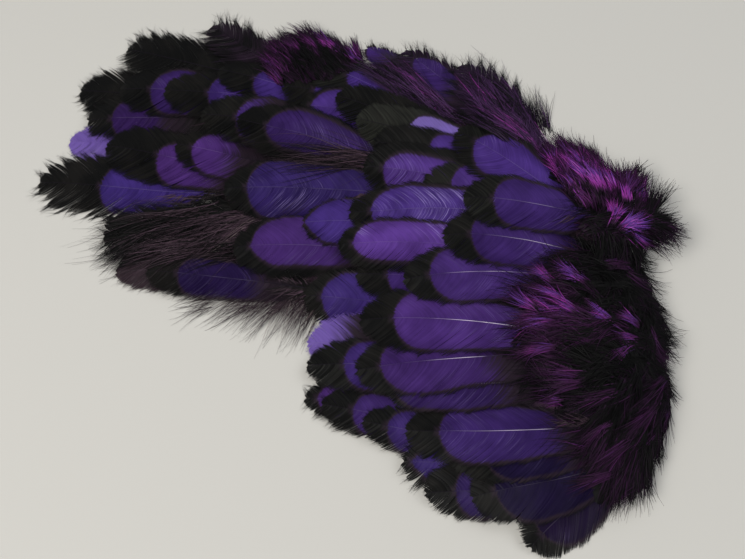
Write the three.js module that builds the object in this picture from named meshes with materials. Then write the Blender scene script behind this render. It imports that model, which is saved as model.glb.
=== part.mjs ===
// Hen soft hackle: a patch of dyed, black-laced hen feathers still rooted in their skin, lying flat.
// Millimetres, +Z up. The feathers point towards -X and fan out from the front edge of the skin at +X.
// The origin is at the middle of the skin's flat underside.
import * as THREE from "three";

// Skin: a thin dried pelt, drawn as a closed curve through hand-set points of its outline.
const SKIN_THICKNESS = 1.2;
const SKIN_MIDDLE = new THREE.Vector2(18, 1);
const SKIN_EDGE_POINTS = 44;
const SKIN_OUTLINE = [
  [-44, 24], [-42, 56], [-14, 62], [28, 53], [55, 34], [72, 13],
  [75, -20], [71, -46], [57, -57], [41, -58], [24, -40], [-2, -15], [-27, 7],
];

// Feather sections from the quill's end (0) to the tip (1): share of the length, of the half width,
// thickness in millimetres, and share of the loose down, on a feather that has some beside its base.
// The quill is thin, the downy base thick and the vane flat.
const FEATHER_SECTIONS = [
  { along: 0, wide: 0.06, thick: 0.9 },
  { along: 0.1, wide: 0.12, thick: 0.9, downy: 1 },
  { along: 0.22, wide: 0.52, thick: 0.9, downy: 0.9 },
  { along: 0.38, wide: 0.78, thick: 0.75, downy: 0.7 },
  { along: 0.54, wide: 0.93, thick: 0.6, downy: 0.4 },
  { along: 0.68, wide: 1, thick: 0.5 },
  { along: 0.8, wide: 0.98, thick: 0.5 },
  { along: 0.89, wide: 0.85, thick: 0.45 },
  { along: 0.95, wide: 0.62, thick: 0.4 },
  { along: 0.988, wide: 0.3, thick: 0.35 },
];
const TUFT_SECTIONS = [
  { along: 0, wide: 0.3, thick: 1.2 },
  { along: 0.08, wide: 0.58, thick: 2 },
  { along: 0.2, wide: 0.8, thick: 2.8 },
  { along: 0.34, wide: 0.93, thick: 3.1 },
  { along: 0.48, wide: 1, thick: 3 },
  { along: 0.6, wide: 0.98, thick: 2.6 },
  { along: 0.72, wide: 0.9, thick: 2.1 },
  { along: 0.82, wide: 0.74, thick: 1.6 },
  { along: 0.91, wide: 0.5, thick: 1.2 },
];
// Places across a section, as shares of the half width from the left edge to the right edge.
const ACROSS = [-1, -0.5, 0, 0.5, 1];
const SHAFT_RIDGE = 0.25;
const ARCH = 0.25;
const FEATHER_WOBBLE = 0.04;
const TUFT_WOBBLE = 0.13;

// How the feathers lie on each other.
const LAYER_GAP = 0.3;
const TABLE_GAP = 0.3;
const MAP_CELL = 0.8;
const MAP_REACH = 130;
const SAMPLE_STEP = 0.75;
const STEEPEST_SLOPE = 0.7;
const BEND_RADIUS = 12;
const SETTLE_PASSES = 12;
const SETTLED = 0.02;
const SIDEWAYS_SOFTNESS = 3;

const COLOURS = {
  skin: 0xb79f86,
  laced: 0x4b3290,
  dark_tipped: 0x2c2044,
  lilac_tipped: 0x8a74b8,
  mauve_tipped: 0x5c4452,
  fluffy_edge: 0x3a2050,
  down_tuft: 0x6a1c68,
};

// One row for each piece, from the lowest layer to the topmost: its kind, the place of its tip,
// the direction that the tip points in, how far it bends between root and tip, its size, and how
// far loose down stands out at the lower side of its base.
function feather(kind, tipX, tipY, heading, bend, length, width, down = 0) {
  return { kind, tip: new THREE.Vector2(tipX, tipY), heading, bend, length, width, down };
}

const FEATHERS = [
  feather("mauve_tipped", -72.5, 2, 182, 2, 58, 12, 22),
  feather("lilac_tipped", -91, 45, 176, 4, 56, 15),
  feather("dark_tipped", -90, 63.5, 173, 4, 58, 20),
  feather("dark_tipped", -77, 79, 162, -4, 58, 21),
  feather("fluffy_edge", -51, 88, 138, -10, 44, 15),
  feather("dark_tipped", -86, 51.5, 181, 4, 58, 18),
  feather("dark_tipped", -98, 31, 174, -2, 62, 20),
  feather("dark_tipped", -77, 13, 186, 6, 56, 21),
  feather("dark_tipped", -63.5, 1.5, 174, 4, 58, 13.5),
  feather("dark_tipped", -79, 42, 166, -4, 64, 19),
  feather("dark_tipped", -77, 62, 176, 4, 58, 19),
  feather("dark_tipped", -63, 60, 176, 4, 58, 18),
  feather("dark_tipped", -47, 67.5, 163, 0, 56, 16),
  feather("dark_tipped", -58, 41.5, 166, 0, 58, 17),
  feather("dark_tipped", -51, 51, 172, 2, 58, 17),
  feather("down_tuft", -20, 84, 95, 0, 24, 30),
  feather("laced", -27, 59.5, 168, 0, 56, 17),
  feather("laced", -20, 68, 158, 0, 56, 18),
  feather("fluffy_edge", -2, 78, 142, 4, 46, 13),
  feather("fluffy_edge", 9.5, 76, 138, 6, 48, 16),
  feather("fluffy_edge", 27, 71.5, 125, 6, 46, 20),
  feather("laced", -21.5, 52, 171, 2, 54, 15),
  feather("laced", -40, 48, 164, 4, 60, 18),
  feather("laced", -43, 26, 180, 2, 60, 18),
  feather("laced", -39.5, 8.2, 180, 2, 60, 20),
  feather("laced", -20, 15, 181, 2, 54, 16),
  feather("laced", -19, -7, 177, 0, 58, 19),
  feather("lilac_tipped", -18, -19.5, 176, 2, 56, 17),
  feather("dark_tipped", -18.5, -35, 177, -2, 58, 13),
  feather("dark_tipped", -14, -37, 168, -4, 54, 13),
  feather("laced", -3, -42, 168, -4, 54, 12.5),
  feather("dark_tipped", -18, -26.5, 179, 2, 60, 15),
  feather("laced", -5, -0.5, 179, 2, 56, 17),
  feather("laced", -11, 54, 162, 4, 56, 17),
  feather("laced", -5, 46, 168, 4, 56, 17),
  feather("laced", 0, 38.5, 172, 4, 56, 15),
  feather("laced", -3, 31, 174, 4, 56, 18),
  feather("laced", 14, 25, 178, 6, 48, 16),
  feather("laced", -7, 17.5, 181, 2, 56, 16),
  feather("laced", -10, 7.5, 180, 2, 60, 16),
  feather("laced", 7, -52.5, 174, -24, 58, 15),
  feather("laced", 12.5, -58.3, 168, -36, 58, 14.5),
  feather("laced", 37, -72.5, 207, -36, 46, 17),
  feather("laced", 24, -59.5, 174, -42, 50, 19),
  feather("laced", 18, -50, 172, -30, 54, 16),
  feather("laced", 8, -45, 175, -13, 62, 18),
  feather("laced", 3, -34, 181, -6, 62, 15),
  feather("laced", -5, -29, 186, 2, 66, 19),
  feather("laced", -4, -14.5, 180, 10, 68, 20),
  feather("laced", 8, -3.5, 187, 8, 58, 18),
  feather("laced", 19, 9, 181, 16, 53, 18),
  feather("laced", 24, 43, 145, 6, 56, 20),
  feather("laced", 25, 20, 176, 10, 46, 17),
];

// Down that stands out from the front of the skin and lies over the roots of the last row. One more
// tuft lies among the feathers.
const TUFTS = [
  feather("down_tuft", 76, -38, 283, 2, 50, 20),
  feather("down_tuft", 55.5, -64, 239, -8, 40, 20),
  feather("down_tuft", 37, -16, 178, 8, 38, 49),
  feather("down_tuft", 54.5, 42, 114, -8, 28, 20),
  feather("down_tuft", 76, 33, 74, -16, 26, 13),
  feather("down_tuft", 85, 9, 352, -14, 31, 11),
];

const radians = THREE.MathUtils.degToRad;

// A repeatable number between -1 and 1 for feather `index` at place `place`.
function wobble(index, place) {
  return Math.sin(index * 12.9898 + place * 78.233 + 0.7 * index * place);
}

function sectionList(row) {
  return row.kind === "down_tuft" ? TUFT_SECTIONS : FEATHER_SECTIONS;
}

// Plan points of the curve that each section is centred on, and the heading there, from root to tip.
function centreLine(row, sections) {
  const places = [...sections.map((section) => section.along), 1];
  const headings = places.map((along) => radians(row.heading - row.bend * (1 - along)));
  const points = places.map(() => row.tip.clone());
  for (let i = places.length - 2; i >= 0; i--) {
    const step = (places[i + 1] - places[i]) * row.length;
    const turn = (headings[i] + headings[i + 1]) / 2;
    points[i].set(
      points[i + 1].x - Math.cos(turn) * step,
      points[i + 1].y - Math.sin(turn) * step,
    );
  }
  return places.map((along, i) => ({ point: points[i], heading: headings[i] }));
}

// The sections of one piece: each holds the plan places of the points across it, their distance from
// the quill's end and from the shaft, and the thickness of the piece there.
function sectionsOf(row, index) {
  const sections = sectionList(row);
  const unevenness = row.kind === "down_tuft" ? TUFT_WOBBLE : FEATHER_WOBBLE;
  const line = centreLine(row, sections);
  const rings = sections.map((section, i) => {
    const { point, heading } = line[i];
    return ACROSS.map((share) => {
      const uneven = 1 + unevenness * wobble(index + 1, i * 2 + Math.sign(share));
      const down = row.down * (section.downy || 0) * Math.min(share, 0);
      const side = (row.width / 2) * section.wide * uneven * share + down;
      return {
        x: point.x + Math.sin(heading) * side,
        y: point.y - Math.cos(heading) * side,
        station: section.along * row.length,
        side,
        arch: ARCH * section.wide ** 2,
        thick: section.thick * (1 - share * share) + (share === 0 ? SHAFT_RIDGE : 0),
      };
    });
  });
  const tip = { x: row.tip.x, y: row.tip.y, station: row.length, side: 0, arch: 0, thick: 0 };
  rings.push(ACROSS.map(() => tip));
  return rings;
}

// Calls visit at places spread over the piece, with the four corners around each and their weights.
function sweep(rings, visit) {
  for (let i = 0; i + 1 < rings.length; i++) {
    for (let j = 0; j + 1 < ACROSS.length; j++) {
      const corners = [[i, j], [i, j + 1], [i + 1, j], [i + 1, j + 1]];
      const [a, b, c, d] = corners.map(([ring, place]) => rings[ring][place]);
      const long = Math.max(Math.hypot(a.x - c.x, a.y - c.y), Math.hypot(b.x - d.x, b.y - d.y));
      const wide = Math.max(Math.hypot(a.x - b.x, a.y - b.y), Math.hypot(c.x - d.x, c.y - d.y));
      const steps = Math.ceil(long / SAMPLE_STEP);
      const lanes = Math.ceil(wide / SAMPLE_STEP);
      for (let step = 0; step <= steps; step++) {
        for (let lane = 0; lane <= lanes; lane++) {
          const u = step / steps;
          const v = lane / lanes;
          const weights = [(1 - u) * (1 - v), (1 - u) * v, u * (1 - v), u * v];
          const mix = (key) => corners.reduce((sum, [r, p], n) => sum + weights[n] * rings[r][p][key], 0);
          visit(mix("x"), mix("y"), mix("thick"), corners, weights);
        }
      }
    }
  }
}

// The height of what already lies on the table, kept on a square grid.
class PileMap {
  constructor() {
    this.side = Math.ceil((2 * MAP_REACH) / MAP_CELL);
    this.heights = new Float64Array(this.side * this.side).fill(TABLE_GAP - LAYER_GAP);
  }

  cell(value) {
    return Math.floor((value + MAP_REACH) / MAP_CELL);
  }

  at(x, y) {
    return this.heights[this.cell(y) * this.side + this.cell(x)];
  }

  // Raises the cell that holds the place, and the cells around it.
  raise(x, y, height) {
    for (let row = this.cell(y) - 1; row <= this.cell(y) + 1; row++) {
      for (let column = this.cell(x) - 1; column <= this.cell(x) + 1; column++) {
        const i = row * this.side + column;
        this.heights[i] = Math.max(this.heights[i], height);
      }
    }
  }
}

// How far a feather drops over a run of length `run` away from a point that holds it up.
function droop(run) {
  const straightens = STEEPEST_SLOPE * BEND_RADIUS;
  if (run < straightens) return (run * run) / (2 * BEND_RADIUS);
  return STEEPEST_SLOPE * run - (STEEPEST_SLOPE * straightens) / 2;
}

// Lifts the places around each high one, and each dip, as a springy shaft and arched vanes do.
function stiffen(rings, heights) {
  const places = rings.flatMap((ring, i) => ring.map((point, j) => ({ point, i, j })));
  for (const { point, i, j } of places) {
    for (const other of places) {
      const run = Math.hypot(
        point.station - other.point.station,
        SIDEWAYS_SOFTNESS * (point.side - other.point.side),
      );
      heights[i][j] = Math.max(heights[i][j], heights[other.i][other.j] - droop(run));
    }
  }
  for (let i = 1; i + 1 < rings.length; i++) {
    const before = rings[i][0].station - rings[i - 1][0].station;
    const after = rings[i + 1][0].station - rings[i][0].station;
    for (let j = 0; j < ACROSS.length; j++) {
      const chord = (heights[i - 1][j] * after + heights[i + 1][j] * before) / (before + after);
      heights[i][j] = Math.max(heights[i][j], chord - (before * after) / (2 * BEND_RADIUS));
    }
  }
  for (let i = 0; i + 1 < rings.length; i++) {
    for (let j = 1; j + 1 < ACROSS.length; j++) {
      const chord = (heights[i][j - 1] + heights[i][j + 1]) / 2;
      heights[i][j] = Math.max(heights[i][j], chord + rings[i][j].arch);
    }
  }
  heights[rings.length - 1].fill(Math.max(...heights[rings.length - 1]));
}

// Lets one piece down onto the pile, and gives the height of its underside at each point of its
// sections. They start at the table and rise only where the piece touches what lies there: in the
// first pass the nearest point rises, and in the later ones the four around the place.
function settle(rings, pile) {
  const heights = rings.map((ring) => ring.map(() => TABLE_GAP));
  let most = 1;
  for (let pass = 0; pass < SETTLE_PASSES && most > SETTLED; pass++) {
    most = 0;
    sweep(rings, (x, y, thick, corners, weights) => {
      const height = corners.reduce((sum, [r, p], n) => sum + weights[n] * heights[r][p], 0);
      const needed = pile.at(x, y) + LAYER_GAP;
      const lack = needed - height;
      if (lack <= 0) return;
      most = Math.max(most, lack);
      if (pass === 0) {
        const [r, p] = corners[weights.indexOf(Math.max(...weights))];
        heights[r][p] = Math.max(heights[r][p], needed);
      } else {
        const spread = weights.reduce((sum, weight) => sum + weight * weight, 0);
        corners.forEach(([r, p], n) => (heights[r][p] += (lack * weights[n]) / spread));
      }
    });
    stiffen(rings, heights);
  }
  sweep(rings, (x, y, thick, corners, weights) => {
    const height = corners.reduce((sum, [r, p], n) => sum + weights[n] * heights[r][p], 0);
    pile.raise(x, y, height + thick);
  });
  return heights;
}

// A closed surface over the rings: tops and undersides meet in a thin edge, with a flat end at the
// quill and a point at the tip. Both are split along the same diagonals, so that they stay apart
// where the vane twists.
function loft(rings, heights) {
  const positions = [];
  const loops = rings.slice(0, -1).map((ring, i) => {
    const top = ring.map((point, j) => [point.x, point.y, heights[i][j] + point.thick]);
    const bottom = ring.map((point, j) => [point.x, point.y, heights[i][j]]);
    return [...top, ...bottom.slice(1, -1).reverse()];
  });
  const end = rings.length - 1;
  const tip = [rings[end][0].x, rings[end][0].y, heights[end][0]];
  const face = (a, b, c) => positions.push(...a, ...b, ...c);
  for (let i = 0; i + 1 < loops.length; i++) {
    const near = loops[i];
    const far = loops[i + 1];
    near.forEach((corner, j) => {
      const k = (j + 1) % near.length;
      const underneath = j + 1 >= ACROSS.length;
      face(corner, near[k], underneath ? far[k] : far[j]);
      face(underneath ? corner : near[k], far[k], far[j]);
    });
  }
  const last = loops[loops.length - 1];
  last.forEach((corner, j) => face(corner, last[(j + 1) % last.length], tip));
  const first = loops[0];
  for (let j = 1; j + 1 < first.length; j++) face(first[0], first[j + 1], first[j]);
  const geometry = new THREE.BufferGeometry();
  geometry.setAttribute("position", new THREE.Float32BufferAttribute(positions, 3));
  geometry.computeVertexNormals();
  return geometry;
}

function material(kind) {
  return new THREE.MeshStandardMaterial({ color: COLOURS[kind], roughness: 0.6, metalness: 0 });
}

function skinShape() {
  const corners = SKIN_OUTLINE.map(([x, y]) => new THREE.Vector3(x, y, 0));
  const curve = new THREE.CatmullRomCurve3(corners, true, "centripetal");
  const points = curve.getPoints(SKIN_EDGE_POINTS).slice(0, -1);
  return new THREE.Shape(points.map((p) => new THREE.Vector2(p.x, p.y)));
}

function skin() {
  const geometry = new THREE.ExtrudeGeometry(skinShape(), {
    depth: SKIN_THICKNESS,
    bevelEnabled: false,
    steps: 1,
  });
  const mesh = new THREE.Mesh(geometry, material("skin"));
  mesh.name = "skin";
  return mesh;
}

// True where the place is inside the closed outline.
function inside(outline, x, y) {
  let within = false;
  outline.forEach((a, i) => {
    const b = outline[(i + 1) % outline.length];
    const crosses = a.y > y !== b.y > y;
    if (crosses && x < a.x + ((y - a.y) * (b.x - a.x)) / (b.y - a.y)) within = !within;
  });
  return within;
}

function layOnSkin(pile) {
  const outline = skinShape().getPoints();
  for (let x = -MAP_REACH + MAP_CELL; x < MAP_REACH - MAP_CELL; x += MAP_CELL) {
    for (let y = -MAP_REACH + MAP_CELL; y < MAP_REACH - MAP_CELL; y += MAP_CELL) {
      if (inside(outline, x, y)) pile.raise(x, y, SKIN_THICKNESS);
    }
  }
}

function pileUp(rows, pile, patch) {
  const counts = {};
  rows.forEach((row, index) => {
    const rings = sectionsOf(row, index);
    const mesh = new THREE.Mesh(loft(rings, settle(rings, pile)), material(row.kind));
    counts[row.kind] = (counts[row.kind] || 0) + 1;
    const word = row.kind === "down_tuft" ? row.kind : row.kind + "_feather";
    mesh.name = word + "_" + String(counts[row.kind]).padStart(2, "0");
    patch.add(mesh);
  });
}

const patch = new THREE.Group();
patch.position.set(-SKIN_MIDDLE.x, -SKIN_MIDDLE.y, 0);
patch.add(skin());
const pile = new PileMap();
layOnSkin(pile);
pileUp([...FEATHERS, ...TUFTS], pile, patch);

export default patch;
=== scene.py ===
"""Looks of a hen soft hackle patch: dyed, black-laced feathers lying on their skin.

Each feather is rebuilt on its CAD solid. The solid's plan outline and top are measured first, and
barbs, a shaft and fringe hairs are then laid over them. The down tufts become locks of fine strands.
Sizes are millimetres here, and the meshes are made in metres.
"""

import math

import bpy
import numpy as np
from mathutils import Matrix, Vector
from mathutils.bvhtree import BVHTree


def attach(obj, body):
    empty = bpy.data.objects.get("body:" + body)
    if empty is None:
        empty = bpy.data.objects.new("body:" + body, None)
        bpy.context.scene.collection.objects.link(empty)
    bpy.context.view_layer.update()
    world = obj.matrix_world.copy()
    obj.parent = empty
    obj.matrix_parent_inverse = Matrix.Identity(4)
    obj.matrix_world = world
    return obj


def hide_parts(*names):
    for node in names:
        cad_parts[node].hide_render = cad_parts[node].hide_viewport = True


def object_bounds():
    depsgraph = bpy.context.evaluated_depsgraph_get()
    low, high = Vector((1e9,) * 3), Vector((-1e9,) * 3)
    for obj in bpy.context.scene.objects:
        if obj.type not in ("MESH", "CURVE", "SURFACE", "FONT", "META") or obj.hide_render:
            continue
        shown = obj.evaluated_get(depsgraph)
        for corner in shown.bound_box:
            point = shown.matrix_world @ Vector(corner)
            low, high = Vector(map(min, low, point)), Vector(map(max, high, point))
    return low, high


MM = 0.001
SEED = 11

# Camera: the photograph looks down on the patch from its lower edge.
IMAGE_WIDTH = 745
FOCAL_PIXELS = 1000
SENSOR_WIDTH = 36
CAMERA_DISTANCE = 280
CAMERA_ELEVATION = math.radians(65)
CAMERA_TARGET = Vector((-18, -1, 0))

# Measuring a feather's solid.
ROOTS_AT = np.array([42.0, -1.0])
SLICES = 26
STATIONS = 100
SHARES = np.array([-0.92, -0.6, -0.3, 0.0, 0.3, 0.6, 0.92])
LINE_DEGREE = 4
HIGH_ABOVE = 60
SMOOTHINGS = 3

# Barbs.
BARB_PITCH = 0.34
ENDS_APART = 1.25
PLACES_PER_BARB = 8
ROOT_JITTER = 0.2
LENGTH_SPREAD = 0.02
EDGE_WAVE = 0.03
EDGE_WAVES = 0.9
SHIFT_SPREAD = 0.12
WANDER_SPREAD = 0.08
ALONG_POWER = 1.25
ASIDE_POWER = 0.88
TAPER_AT = 0.85
TAPER_TO = 0.25
TILT_SPREAD = 0.12
BARB_POINTS = 9
BARB_LEAN = 1.05
VANE_START = 0.2
BARB_COVER = 0.66
BARB_TILT = 0.16
VANE_SINK = 0.08
SPLIT_REACH = 2.6
SPLIT_SHARES = (0.45, 0.9)
SPLIT_GAPS = (0.3, 1.1)
SPLIT_POWER = 1.6
CLUMP_WIDTHS = (1.5, 7.0)
MOST_CLUMPS = 60
CLUMP_UNEVEN = 0.22
CLUMP_POWER = 5
STRIP_CLIP = (0.35, 2.2)
CLUMP_CLIP = (0.35, 1.3)
FIELD_BOW = 0.8
WHOLE = 100
REACH_FADE = 0.12
UNLACED_DEPTH = 3
VANE_STOP = 0.985
LOWEST = 0.3

# Shaft.
SHAFT_BASE = 0.18
SHAFT_TIP = 0.05
SHAFT_SIDES = 6
GLINT_SPREAD = 0.16
SHAFT_STEPS = 26

# Fringe hairs and other loose strands.
FRINGE_TURN = 0.22
FRINGE_LENGTHS = (0.3, 1.5)
FRINGE_OVERLAP = 0.6
FRINGE_WIDTH = 0.1
FRINGE_SAG = 0.1
STRAND_TURN = 0.25
STRAND_TILT = 0.5
STRAND_THINNING = 0.85
BASE_STRANDS = 90
BASE_SHARES = (0.05, 0.34)
BASE_LEANS = (0.5, 1.1)
BASE_LENGTHS = (4, 8)
BASE_WIDTH = 0.35
BASE_CURL = 0.6
BASE_SINK = 0.25

# Down tufts.
GRID_STEP = 1.0
LOCK_ARCHES = (0.2, 1.2)
LOCK_ROOT_SPREAD = 0.55
STRAND_REACHES = (0.55, 1.1)
LOCK_LEVELS = (-1.6, -0.2)
LEVEL_SPREAD = 0.3
GLOW_SPREAD = 0.35
SHADE_SPREAD = 0.22
SHADE_DEPTH = 0.8
WISP_POINTS = 8
WISP_WIDTH = 0.17
BED_SINK = 1.4
DROOP = 0.3
LOCK_FAN = 0.17
LOCK_STRAY = 0.25
BRIGHT_LEVEL = 0.1
BRIGHT_STRANDS = 50

# Bands of the baked map that hold the vane, the shaft and the loose strands.
VANE_BAND = (0.02, 0.7)
SHAFT_BAND = 0.73
STRAND_BAND = (0.76, 0.99)
MAP_WIDER = 1.15
MAP_LONGER = 1.04

VANE_SPECULAR = 0.05
DOWN_SPECULAR = 0.04

FLOOR_SIZE = 6
FLOOR_DROP = 0.05


def look(lace, side=1.2, tone=1.0, warm=0.0, reach=WHOLE, fringe=0.9, hairs=0.25, splits=1, pale=0.06,
         glint=None, shine=1.0, cap=None, olive=0.0, frost=0.15, stop=VANE_STOP, low=None,
         clump=0.0):
    """How one feather looks: length of the black lace at its tip and its sides, brightness of the dye
    and its warmth from -1 for blue to 1 for purple, distance from the tip to the far end of its dyed
    field, length and share of the hairs past its edge, splits on each side, paleness of its shaft, the
    share of the shaft around which it glints and how strongly, the half width where its vane ends, on a
    feather whose solid also holds loose down, how far its lace fades from black to grey, how much
    painted whitish sheen, a painted highlight, lies on its dye (over 1 it is all over), the share of the
    shaft at which the vane stops, the width of the lace on the side nearer to the viewer where it
    differs, and how far its barbs' ends are drawn together into pointed clumps, from 0 to 1."""
    return {
        "lace": lace, "side": side, "tone": tone, "warm": warm, "reach": reach, "fringe": fringe,
        "hairs": hairs, "splits": splits, "pale": pale, "glint": glint, "shine": shine, "cap": cap,
        "olive": olive, "frost": frost, "stop": stop, "low": side if low is None else low,
        "clump": clump,
    }


ALL_BLACK = 80

# Feathers 01 and up of each kind.
KIND_LOOKS = {
    "mauve_tipped": (
        look(0, side=0, cap=6.2, fringe=1.4, hairs=0.4),
    ),
    "lilac_tipped": (
        look(0, side=0),
        look(0, side=0, warm=0.8, reach=10),
    ),
    "dark_tipped": (
        look(ALL_BLACK, fringe=1.8, hairs=0.5, splits=2, clump=0.15),
        look(ALL_BLACK, fringe=2.4, hairs=0.7, splits=2, clump=0.2),
        look(8, tone=0.55, warm=0.3, reach=22, fringe=1.4, hairs=0.4, clump=0.3),
        look(19, side=1.5, tone=0.85, warm=-0.7, fringe=2.6, hairs=0.6, splits=3, clump=0.4),
        look(ALL_BLACK, fringe=3.5, hairs=0.8, splits=4, pale=0, cap=8.5, clump=0.4),  # 05
        look(9.5, tone=0.32, warm=-0.2, reach=31, fringe=1.2, hairs=0.4),
        look(16.5, side=4, warm=0.6, reach=34, low=1.2),
        look(10, tone=0.6),
        look(13.8, side=0.8, tone=0.85, warm=-0.3),
        look(12, tone=0.9, warm=-0.4),  # 10
        look(5.5, tone=1.15, warm=0.6, reach=17),
        look(11, reach=17, olive=0.15),
        look(4, warm=0.6, fringe=1.8, hairs=0.5, clump=0.2),
        look(9, tone=0.8, fringe=1.2),
        look(10.3, tone=0.8, warm=-0.3, olive=0.2),  # 15
    ),
    "fluffy_edge": (
        look(ALL_BLACK, fringe=3.5, hairs=0.9, splits=3, pale=0, clump=0.35),
        look(0.5, side=0.5, tone=1.1, reach=7, fringe=2.2, hairs=0.7, splits=2, olive=0.2),
        look(5, side=2.5, tone=0.95, reach=20, fringe=3.2, hairs=0.8, splits=2, olive=0.3, clump=0.4),
        look(ALL_BLACK, fringe=4, hairs=1.0, splits=3, olive=0.3, clump=0.5),
    ),
    "laced": (
        look(10, tone=0.95, warm=-0.3),
        look(13.5, side=4, tone=1.1, warm=-0.3, olive=0.35),
        look(3.5, tone=1.1, warm=-0.2),
        look(9.5, side=2, tone=0.56, warm=0.0, frost=0.4, low=4),
        look(7, side=0.6, tone=0.54, warm=-0.6, frost=0.4),  # 05
        look(5.5, side=0.7, tone=0.95, warm=0.4, reach=31, splits=2, low=4),
        look(1, side=0.6, tone=0.9, warm=-0.5, low=1.2),
        look(5, tone=0.85, warm=-0.5),
        look(7, tone=0.7, warm=-0.3),
        look(9, tone=0.9),  # 10
        look(ALL_BLACK, olive=0.15),
        look(15.5, tone=2.0, warm=-0.3, olive=0.5, frost=2.2),
        look(16, side=1, tone=1.1, warm=-0.2, olive=0.1, low=2),
        look(6, side=4, tone=1.2, warm=0.1, frost=0.5, low=1.2),
        look(8, tone=1.1, olive=0.35),  # 15
        look(6.5, side=1.5, tone=1.05, warm=-0.3, frost=0.8),
        look(4.5, tone=1.5, warm=0.3, splits=2, frost=0.7, low=3),
        look(3, side=3, tone=0.7, warm=-0.6, fringe=1.8, hairs=0.5, clump=0.25),
        look(8, tone=0.45, warm=-0.2),
        look(5, tone=0.14, warm=0.4),  # 20
        look(6.5, tone=0.16, warm=-0.3, reach=38),
        look(10, tone=0.18, warm=-0.4, reach=30, olive=0.2),
        look(9, tone=0.66, warm=-0.1, reach=38, glint=0.52, shine=0.5),
        look(2.5, tone=0.55, reach=30, glint=0.55, shine=0.3),
        look(7, tone=0.78, warm=0.3, reach=36, glint=0.5, shine=0.8),  # 25
        look(9.5, warm=0.3, reach=46, glint=0.5, shine=0.9),
        look(7.5, tone=0.85, warm=0.1, glint=0.6, shine=0.55, olive=0.15),
        look(8, tone=0.7, glint=0.5, shine=0.5, olive=0.15),
        look(7, side=2.5, tone=1.1, warm=-0.2, olive=0.2, frost=0.4),
        look(8.5, tone=0.72, warm=-0.1, glint=0.5, shine=0.15, olive=0.25, frost=0.5),  # 30
    ),
}
LOOKS = {
    f"{kind}_feather_{number + 1:02d}": row
    for kind, rows in KIND_LOOKS.items()
    for number, row in enumerate(rows)
}


def smoothed(values, times=SMOOTHINGS):
    """Values along axis 0 with each place averaged with its neighbours, and both ends kept."""
    values = np.array(values, float)
    for _ in range(times):
        inner = (values[:-2] + 2 * values[1:-1] + values[2:]) / 4
        values = np.concatenate([values[:1], inner, values[-1:]])
    return values


def unit(vectors):
    return vectors / np.maximum(np.linalg.norm(vectors, axis=-1, keepdims=True), 1e-9)


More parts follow.
